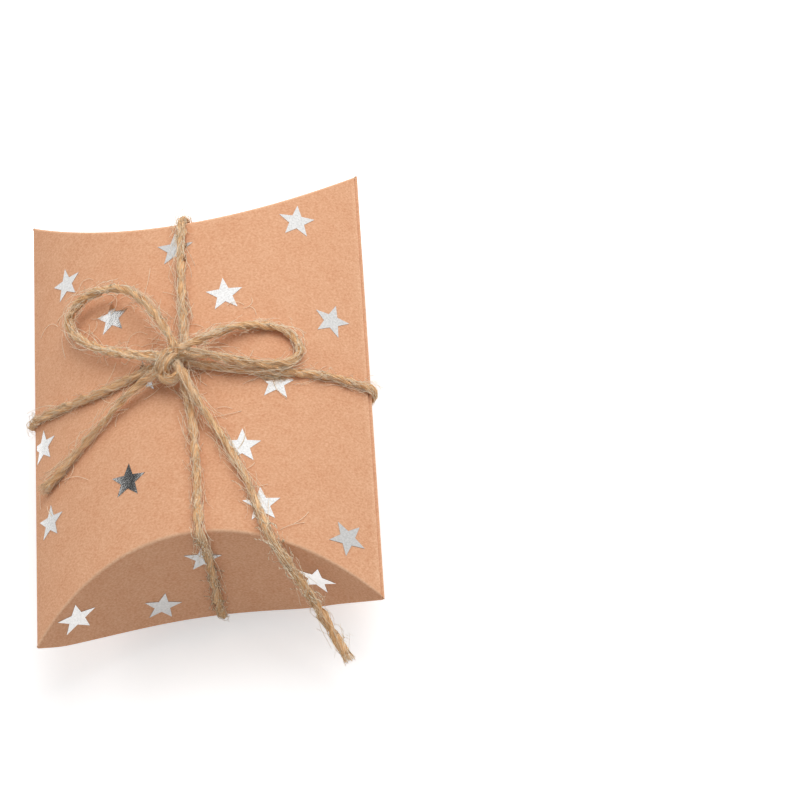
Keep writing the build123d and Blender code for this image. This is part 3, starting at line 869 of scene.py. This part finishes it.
class Twine:
    """Mesh of one stretch of twine: two plies of long fibres round a core, and the stray ones."""

    def __init__(self, points, finish, seed, start, tight, frayed):
        self.points = points
        self.finish = finish
        self.start = start
        self.random = random.Random(seed)
        self.verts = []
        self.faces = []
        self.lay = []
        self.shade = []
        self.ring = []
        self.spacing = (points[1] - points[0]).length
        self.frames = self.turn_frames()
        waves = [self.wave(0.12, 4, 8), self.wave(0.05, 1.5, 3)]
        self.swell = []
        for at in range(len(points)):
            share = at / len(points)
            pull = smooth_step(tight[0] - 0.1, tight[0], share) - smooth_step(tight[1], tight[1] + 0.1, share)
            flare = FLARED * smooth_step(0.65, 1, share) if frayed else 0
            self.swell.append((1 + sum(wave(at) for wave in waves)) * (1 - PULLED * pull + flare))
        self.wander = self.wave(0.5, 4, 7)

    def wave(self, height, shortest, longest):
        """A slow wave along the twine, with a length between two limits in millimetres."""
        length = self.random.uniform(shortest, longest) * MM
        phase = self.random.uniform(0, 2 * pi)
        return lambda at: height * sin(2 * pi * at * self.spacing / length + phase)

    def turn_frames(self):
        """Two directions square to the twine at each point, with no twist of their own."""
        frames = []
        side = None
        for at in range(len(self.points)):
            before = self.points[max(at - 1, 0)]
            after = self.points[min(at + 1, len(self.points) - 1)]
            along = (after - before).normalized()
            if side is None:
                side = along.orthogonal().normalized()
            side = (side - along * side.dot(along)).normalized()
            frames.append((side.copy(), along.cross(side)))
        return frames

    def offset(self, at, radius, turn):
        """Step of a given length square to the twine."""
        side, other = self.frames[at]
        return side * (radius * cos(turn)) + other * (radius * sin(turn))

    def ply_middle(self, at, ply):
        """Middle of a ply, which winds round the twine's own middle."""
        turn = self.start + 2 * pi * at * self.spacing / self.finish.pitch + pi * ply + self.wander(at)
        return self.points[at] + self.offset(at, PLY_OUT * self.finish.diameter * self.swell[at], turn)

    def tube(self, hearts, rings, widths, sides, shade):
        """Closed tube through hearts, each with the twine's ring that it goes with and its own width."""
        start = len(self.verts)
        shift = self.random.uniform(0, 1)
        for step, (heart, ring, width) in enumerate(zip(hearts, rings, widths)):
            for corner in range(sides):
                turn = 2 * pi * corner / sides
                self.verts.append(heart + self.offset(ring, width, turn))
                around = (width * cos(turn) / MM + shift, width * sin(turn) / MM)
                self.lay.append((*around, step * self.spacing / MM / 8))
                self.shade.append(shade)
                self.ring.append(ring)
        for step in range(len(hearts) - 1):
            low = start + step * sides
            for corner in range(sides):
                after = (corner + 1) % sides
                self.faces.append((low + corner, low + after, low + sides + after, low + sides + corner))
        last = start + (len(hearts) - 1) * sides
        self.faces.append(tuple(start + corner for corner in reversed(range(sides))))
        self.faces.append(tuple(last + corner for corner in range(sides)))

    def plies(self):
        """Two plies: a darker core in each, as painted shade in the gaps between fibres, and fibres that turn
        with the ply, each at its own slope.
        """
        rings = range(len(self.points))
        for ply in range(2):
            hearts = [self.ply_middle(at, ply) for at in rings]
            core = [CORE_RADIUS * self.finish.diameter * self.swell[at] for at in rings]
            # The core's darker tone is painted shade, seen in the gaps between the fibres
            self.tube(hearts, rings, core, CORE_SIDES, -0.05)
            for fibre in range(self.finish.fibres):
                start = 2 * pi * fibre / self.finish.fibres
                slope = self.random.uniform(0.4, 1) * 2 * pi / self.finish.pitch
                waves = [self.wave(0.3, 4, 10), self.wave(0.06, 1.5, 3)]
                loose = 0.3 if self.random.random() < 0.12 else 0.06
                rise = self.wave(loose, 3, 8)
                thick = self.random.uniform(0.05, 0.09) * MM
                lie = []
                for at in rings:
                    turn = start + slope * at * self.spacing + sum(wave(at) for wave in waves)
                    out = FIBRE_OUT * self.finish.diameter * self.swell[at] * (1.02 + rise(at))
                    lie.append(hearts[at] + self.offset(at, out, turn))
                shade = self.random.uniform(-0.17, 0.22)
                self.tube(lie, rings, [thick] * len(lie), FIBRE_SIDES, shade)

    def hair(self, reach, length, thick, curl, first=None, painted_light=0):
        """One stray fibre that leaves the twine in a loose curve, clear of the card and the floor."""
        steps = 12
        if first is None:
            first = self.random.randrange(len(self.points))
        # Fibres under the box are pressed close to the twine
        reach *= 0.25 + 0.75 * smooth_step(4 * MM, 9 * MM, self.points[first].z)
        stride = self.random.choice((-1, 1)) * length / self.spacing / steps
        turn = self.random.uniform(0, 2 * pi)
        swing = self.random.uniform(-1.5, 1.5)
        bend = self.random.uniform(0.6, 1.4)
        whirl = self.random.uniform(4, 9)
        hearts = []
        rings = []
        for step in range(steps + 1):
            share = step / steps
            ring = min(max(round(first + stride * step), 0), len(self.points) - 1)
            out = HAIR_OUT * self.finish.diameter + reach * share**bend + curl * share * sin(whirl * share)
            shift = self.offset(ring, out, turn + swing * share)
            shift += self.offset(ring, curl * share * cos(whirl * share), turn + pi / 2)
            outward = away_from_box(self.points[ring])
            sunk = shift.dot(outward) + HAIR_DEPTH * self.finish.diameter
            if sunk < 0:
                shift -= outward * 1.4 * sunk
            heart = self.points[ring] + shift
            heart.z = max(heart.z, FLOOR_GAP)
            hearts.append(heart)
            rings.append(ring)
        widths = [thick * (1 - 0.4 * step / steps) for step in range(steps + 1)]
        # Any extra paleness given to a fibre here is painted light
        self.tube(hearts, rings, widths, FIBRE_SIDES, self.random.uniform(0.22, 0.5) + painted_light)

    def hairs(self):
        """Stray fibres all along: many close ones, and fewer long or curled ones that stand away."""
        total = len(self.points) * self.spacing / MM * self.finish.hairs
        pick = self.random.uniform
        for number in range(int(total)):
            thick = pick(0.045, 0.075) * MM
            if number % 12 == 11:
                self.hair(pick(1.5, 2.1) * MM, pick(1, 5) * MM, thick, pick(0.1, 0.4) * MM)
            elif number % 5 < 2:
                self.hair(pick(0.1, 0.6) * MM, pick(1.5, 6) * MM, thick, 0)
            elif number % 5 < 4:
                self.hair(pick(0.6, 2.1) * MM, pick(1.5, 8) * MM, thick, pick(0, 0.3) * MM)
            else:
                self.hair(pick(0.4, 1.4) * MM, pick(0.8, 3) * MM, thick, pick(0.2, 0.6) * MM)

    def tuft(self, place):
        """Curled fibres that stand out together, at a share of the twine's length, drawn paler as painted
        light to stand in for the light they catch.
        """
        middle = round(place * len(self.points))
        pick = self.random.uniform
        for _ in range(8):
            first = middle + self.random.randrange(-2, 3)
            reach = pick(0.9, 2) * MM
            length = pick(0.3, 2.6) * MM
            thick = pick(0.09, 0.14) * MM
            self.hair(reach, length, thick, pick(0.2, 0.6) * MM, first, painted_light=0.3)

    def frayed_end(self):
        """Loose fibre ends past the last point, cut to much the same length."""
        last = len(self.points) - 1
        along = (self.points[last] - self.points[last - 1]).normalized()
        pick = self.random.uniform
        steps = 4
        for _ in range(80):
            turn = pick(0, 2 * pi)
            out = END_RADIUS * sqrt(self.random.random()) * self.finish.diameter
            length = pick(0.9, 1.8) * MM
            spread = pick(0, 0.4) * length
            thick = pick(0.045, 0.085) * MM
            hearts = []
            for step in range(steps + 1):
                share = step / steps
                forward = along * (length * share - 1.2 * MM * (1 - share))
                heart = self.points[last] + forward + self.offset(last, out + spread * share**2, turn)
                heart.z = max(heart.z, FLOOR_GAP)
                hearts.append(heart)
            widths = [thick * (1 - 0.15 * step) for step in range(steps + 1)]
            self.tube(hearts, [last] * len(hearts), widths, FIBRE_SIDES, pick(-0.05, 0.3))

    def build(self, name):
        """The finished object."""
        mesh = bpy.data.meshes.new(name)
        mesh.from_pydata(self.verts, [], self.faces)
        lay = mesh.attributes.new("twine_lay", "FLOAT_VECTOR", "POINT")
        lay.data.foreach_set("vector", [part for place in self.lay for part in place])
        shade = mesh.attributes.new("fibre_shade", "FLOAT", "POINT")
        shade.data.foreach_set("value", self.shade)
        mesh.polygons.foreach_set("use_smooth", [True] * len(mesh.polygons))
        mesh.materials.append(material("natural_jute_fibre", jute, self.finish.colour))
        piece = bpy.data.objects.new(name, mesh)
        bpy.context.scene.collection.objects.link(piece)
        return piece


def spin_twine(name, route, seed, start=0, tight=NOWHERE, tufts=(), frayed=False):
    """Twine along a route, drawn tight between two shares of it; returns the piece and its twine."""
    finish = bpy.context.scene.twine_finish
    twine = Twine(spline_points(route, TWINE_STEP), finish, seed, start, tight, frayed)
    twine.plies()
    twine.hairs()
    for place in tufts:
        twine.tuft(place)
    if frayed:
        twine.frayed_end()
    return twine.build(name), twine


def share_twine(piece, twine, weigh):
    """Weigh each ring of twine by its own share, and bake the piece's transform into its mesh."""
    by_ring = [weigh(point) for point in twine.points]
    share_swing(piece, [by_ring[ring] for ring in twine.ring])


def lengthwise_route(end, line, drop):
    """Route from the knot over one end and under the box to its middle."""
    lay = SEAT * bpy.context.scene.twine_finish.diameter
    top = PANEL_BULGE + lay
    last_x = line[-1][1]
    route = [(x, end * along, top / MM) for along, x in line]
    route.append((last_x, end * (CREASE_Y + 0.6 * MM) / MM, top / MM))
    for height, x in drop:
        route.append((x, end * (wall_out(x * MM, height * MM) + lay) / MM, height))
    foot_x = drop[-1][1]
    low = -top / MM
    foot = FOOT_Y / MM
    for along, dip in ((foot - 0.1, -1), (foot - 2.5, -0.3), (28, 0.3), (14, 1.3), (5, 2.2), (0, 2.4)):
        route.append((foot_x * along / foot, end * along, low - dip))
    return over_middle(route)


def lengthwise_share(end):
    """Share of an outer flap's swing on the lengthwise twine."""

    def weigh(point):
        out = end * point.y - CREASE_Y
        down = MIDDLE_Z + PANEL_BULGE - point.z
        if point.z > MIDDLE_Z:
            return smooth_step(-2 * MM, 2 * MM, out + max(down, 0))
        return smooth_step(28 * MM, FOOT_Y, end * point.y)

    return weigh


def crosswise_route():
    """Route from the knot round both side folds and under the box."""
    lay = SEAT * bpy.context.scene.twine_finish.diameter / MM
    route = over_panel([(-3.0, 2.6, 1.6)] + [(x, y, lay) for x, y in LEFT_LINE])
    route += over_middle([(-32.1, 1.0, 1.4), (-32.7, 1.0, 0.5), (-32.7, 1.0, -0.5), (-32.1, 1.1, -1.5)])
    route += over_middle([(x, y, -panel_rise(x * MM) / MM - 1.1 * lay) for x, y in UNDER_LINE])
    route += over_middle([(32.1, -3.2, -1.5), (32.7, -3.0, -0.5), (32.7, -2.7, 0.5), (32.2, -2.3, 1.4)])
    return route + over_panel([(x, y, lay) for x, y in RIGHT_LINE] + [(0.8, 1.7, 1.6)])


class FAVORBOX_OT_wrapping_twine(bpy.types.Operator):
    """Lay the twine that goes round the box, lengthwise and crosswise"""

    bl_idname = "favorbox.wrapping_twine"
    bl_label = "Twine round the box"

    def execute(self, context):
        route = lengthwise_route(-1, FRONT_LINE, FRONT_DROP)
        front, twine = spin_twine("front_lengthwise_twine", route, 11, pi / 2, tufts=(0.35, 0.46, 0.53))
        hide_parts("front_top_strand", "front_end_strand", "bottom_strand")
        share_twine(front, twine, lengthwise_share(-1))
        rear, twine = spin_twine("rear_lengthwise_twine", lengthwise_route(1, REAR_LINE, REAR_DROP), 12)
        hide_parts("rear_top_strand", "rear_end_strand")
        share_twine(rear, twine, lengthwise_share(1))
        cross, twine = spin_twine("crosswise_twine", crosswise_route(), 13)
        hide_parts("crosswise_strand")
        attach(cross, "box")
        return {"FINISHED"}


def declare_cord(piece, twine):
    """Gather a stretch of twine's path and length, and use neither."""
    path = [tuple(point) for point in twine.points]
    length = sum((after - before).length for before, after in zip(twine.points, twine.points[1:]))
    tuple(path[0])


class FAVORBOX_OT_bow(bpy.types.Operator):
    """Tie the bow: its knot, two loops and two frayed tails"""

    bl_idname = "favorbox.bow"
    bl_label = "Bow"

    def execute(self, context):
        for side, route, seed in (("left", LEFT_LOOP, 21), ("right", RIGHT_LOOP, 22)):
            loop, twine = spin_twine(f"{side}_bow_loop_twine", over_panel(route), seed)
            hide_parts(f"{side}_bow_loop")
            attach(loop, "box")
            declare_cord(loop, twine)
        tail, twine = spin_twine("left_tail_twine", over_panel(LEFT_TAIL), 23, tight=(0.3, 0.8), frayed=True)
        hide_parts("left_tail")
        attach(tail, "box")
        declare_cord(tail, twine)
        route = over_panel(RIGHT_TAIL) + over_middle(RIGHT_TAIL_END)
        tufts = (0.57, 0.63, 0.7, 0.79)
        tail, twine = spin_twine("right_tail_twine", route, 24, tight=(0.15, 0.45), tufts=tufts, frayed=True)
        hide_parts("right_tail", "right_tail_end")
        share_twine(tail, twine, lambda point: smooth_step(30.5 * MM, 38 * MM, -point.y))
        declare_cord(tail, twine)
        for number, route in enumerate(KNOT_TURNS):
            turn, twine = spin_twine(f"bow_knot_turn_{number}", over_panel(route), 31 + number)
            if number == 0:
                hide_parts("bow_knot")
            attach(turn, "box")
        return {"FINISHED"}


class FAVORBOX_OT_loose_fibres(bpy.types.Operator):
    """Scatter the fine fibres that the bow has shed on the card round it"""

    bl_idname = "favorbox.loose_fibres"
    bl_label = "Loose fibres"

    def execute(self, context):
        pick = random.Random(41)
        curve = bpy.data.curves.new("loose_fibres", "CURVE")
        curve.dimensions = "3D"
        curve.bevel_depth = 0.05 * MM
        curve.bevel_resolution = 0
        curve.use_fill_caps = True
        # In millimetres: how far the fibres fall from the bow, and how far across the panel they lie
        spread, limit = 2.4, 31
        points = 6
        for route, count in ((LEFT_LOOP, 60), (RIGHT_LOOP, 22), (LEFT_TAIL, 14), (RIGHT_TAIL, 12)):
            for _ in range(count):
                x, y, _ = pick.choice(route)
                x += pick.gauss(0, spread)
                y += pick.gauss(0, spread)
                heading = pick.uniform(0, 2 * pi)
                bend = pick.uniform(-0.5, 0.5)
                step = pick.uniform(0.5, 1.3)
                trail = []
                for number in range(points):
                    trail.append((x, y, 0.1 + 0.25 * sin(pi * number / (points - 1))))
                    heading += bend
                    x = min(max(x + step * cos(heading), -limit), limit)
                    y += step * sin(heading)
                add_spline(curve, over_panel(trail)).resolution_u = 3
        piece = bpy.data.objects.new("loose_fibres", curve)
        context.scene.collection.objects.link(piece)
        bpy.ops.object.select_all(action="DESELECT")
        piece.select_set(True)
        context.view_layer.objects.active = piece
        bpy.ops.object.convert(target="MESH")
        piece = context.object
        shade = piece.data.attributes.new("fibre_shade", "FLOAT", "POINT")
        shade.data.foreach_set("value", [0.3] * len(piece.data.vertices))
        piece.data.materials.clear()
        piece.data.materials.append(material("natural_jute_fibre", jute, context.scene.twine_finish.colour))
        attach(piece, "box")
        return {"FINISHED"}


class FAVORBOX_OT_glue(bpy.types.Operator):
    """Give the glue in the seam its finish"""

    bl_idname = "favorbox.glue"
    bl_label = "Seam glue"

    def execute(self, context):
        glue = frame["nodes"]["glue_line"]
        glue.data.materials.clear()
        glue.data.materials.append(material("dried_glue", dried_glue))
        return {"FINISHED"}


def turn_to_box(place, axis):
    """Turn that points an axis from a place to the box."""
    return (Vector((0, 0, MIDDLE_Z)) - Vector(place)).to_track_quat(axis, "Y").to_euler()


def add_lamp(name, place, size, power):
    """A square soft lamp that points at the box, and that the foil doesn't show."""
    lamp = bpy.data.lights.new(name, "AREA")
    lamp.size = size
    lamp.energy = power
    holder = bpy.data.objects.new(name, lamp)
    holder.location = place
    holder.rotation_euler = turn_to_box(place, "-Z")
    holder.visible_glossy = False
    bpy.context.scene.collection.objects.link(holder)


def add_reflection(name, place, size, colour):
    """A card of one even tone that only shiny pieces show, for the darker reflections in the foil."""
    bpy.ops.object.select_all(action="DESELECT")
    bpy.ops.mesh.primitive_plane_add(size=size, location=place, rotation=turn_to_box(place, "Z"))
    card = bpy.context.object
    card.name = name
    card.visible_camera = False
    card.visible_diffuse = False
    card.visible_shadow = False
    paint, _ = new_material(name)
    glow = {"Base Color": (0, 0, 0, 1), "Emission Color": linear(colour), "Emission Strength": 1}
    card.data.materials.append(finish_material(paint, glow))


def seen_directly(tree):
    """1 for rays that show the background: from the camera, off metal or through glass."""
    path = add_node(tree, "ShaderNodeLightPath").outputs
    either = add_node(
        tree, "ShaderNodeMath", {"operation": "MAXIMUM"},
        {0: path["Is Camera Ray"], 1: path["Is Glossy Ray"]},
    )
    return add_node(
        tree, "ShaderNodeMath", {"operation": "MAXIMUM"}, {0: either, 1: path["Is Transmission Ray"]}
    )


class FAVORBOX_OT_stage(bpy.types.Operator):
    """Set up the pale floor, soft light and camera"""

    bl_idname = "favorbox.stage"
    bl_label = "Stage"

    def execute(self, context):
        stage = context.scene.stage_light
        bpy.ops.object.select_all(action="DESELECT")
        bpy.ops.mesh.primitive_plane_add(size=6)
        floor = context.object
        floor.name = "floor"
        paper, tree = new_material("white_paper_floor")
        glow = add_node(tree, "ShaderNodeMath", {"operation": "MULTIPLY", 1: 0.45}, {0: seen_directly(tree)})
        pale = {"Base Color": linear("F2F2F2"), "Roughness": 0.9, "Emission Color": (1, 1, 1, 1)}
        floor.data.materials.append(finish_material(paper, pale, {"Emission Strength": glow}))

        world = bpy.data.worlds.new("studio")
        context.scene.world = world
        world.use_nodes = True
        tree = world.node_tree
        tree.nodes.clear()
        strength = add_node(
            tree, "ShaderNodeMapRange", {"To Min": stage.sky, "To Max": 1}, {"Value": seen_directly(tree)}
        )
        sky = add_node(tree, "ShaderNodeBackground", {"Color": (1, 1, 1, 1)}, {"Strength": strength})
        add_node(tree, "ShaderNodeOutputWorld", links={"Surface": sky})

        add_lamp("key_softbox", (0.26, 0.38, 0.6), 0.6, stage.key)
        add_lamp("side_softbox", (-0.4, 0.22, 0.5), 0.2, stage.side)
        add_reflection("dark_card", (-0.307, 0.21, 0.361), 0.116, "101214")
        add_reflection("small_dark_card", (-0.281, 0.262, 0.355), 0.06, "2A2D30")

        lens = bpy.data.cameras.new("camera")
        lens.lens = stage.lens
        lens.sensor_width = 36
        lens.clip_start = 0.01
        camera = bpy.data.objects.new("camera", lens)
        camera.location = stage.camera_place
        look = Vector((
            -sin(stage.azimuth) * cos(stage.elevation),
            cos(stage.azimuth) * cos(stage.elevation),
            -sin(stage.elevation),
        ))
        camera.rotation_mode = "QUATERNION"
        camera.rotation_quaternion = look.to_track_quat("-Z", "Y") @ Quaternion((0, 0, 1), -stage.roll)
        context.scene.collection.objects.link(camera)
        context.scene.camera = camera
        context.scene.view_settings.view_transform = "Standard"
        return {"FINISHED"}


STEPS = (
    FAVORBOX_OT_stage,
    FAVORBOX_OT_top_panel,
    FAVORBOX_OT_outer_flaps,
    FAVORBOX_OT_bottom_panel,
    FAVORBOX_OT_inner_flaps,
    FAVORBOX_OT_stars,
    FAVORBOX_OT_wrapping_twine,
    FAVORBOX_OT_bow,
    FAVORBOX_OT_loose_fibres,
    FAVORBOX_OT_glue,
)


class FAVORBOX_PT_panel(bpy.types.Panel):
    """Steps that make the favor box, and the sizes that they use"""

    bl_idname = "FAVORBOX_PT_panel"
    bl_label = "Favor Box"
    bl_space_type = "VIEW_3D"
    bl_region_type = "UI"
    bl_category = "Favor Box"

    def draw(self, context):
        for settings in (context.scene.box_finish, context.scene.twine_finish, context.scene.stage_light):
            box = self.layout.box()
            for name in settings.__annotations__:
                box.prop(settings, name)
        for step in STEPS:
            self.layout.operator(step.bl_idname)


SETTINGS = {"box_finish": BoxFinish, "twine_finish": TwineFinish, "stage_light": StageLight}
CLASSES = (*SETTINGS.values(), *STEPS, FAVORBOX_PT_panel)


def register():
    """Register the classes and hang the settings on the scene."""
    for item in CLASSES:
        bpy.utils.register_class(item)
    for name, settings in SETTINGS.items():
        setattr(bpy.types.Scene, name, bpy.props.PointerProperty(type=settings))


def unregister():
    """Undo register."""
    for name in SETTINGS:
        delattr(bpy.types.Scene, name)
    for item in reversed(CLASSES):
        bpy.utils.unregister_class(item)


def main():
    """Make the box step by step."""
    register()
    for step in STEPS:
        group, name = step.bl_idname.split(".")
        getattr(getattr(bpy.ops, group), name)()


if __name__ == "__main__":
    main()
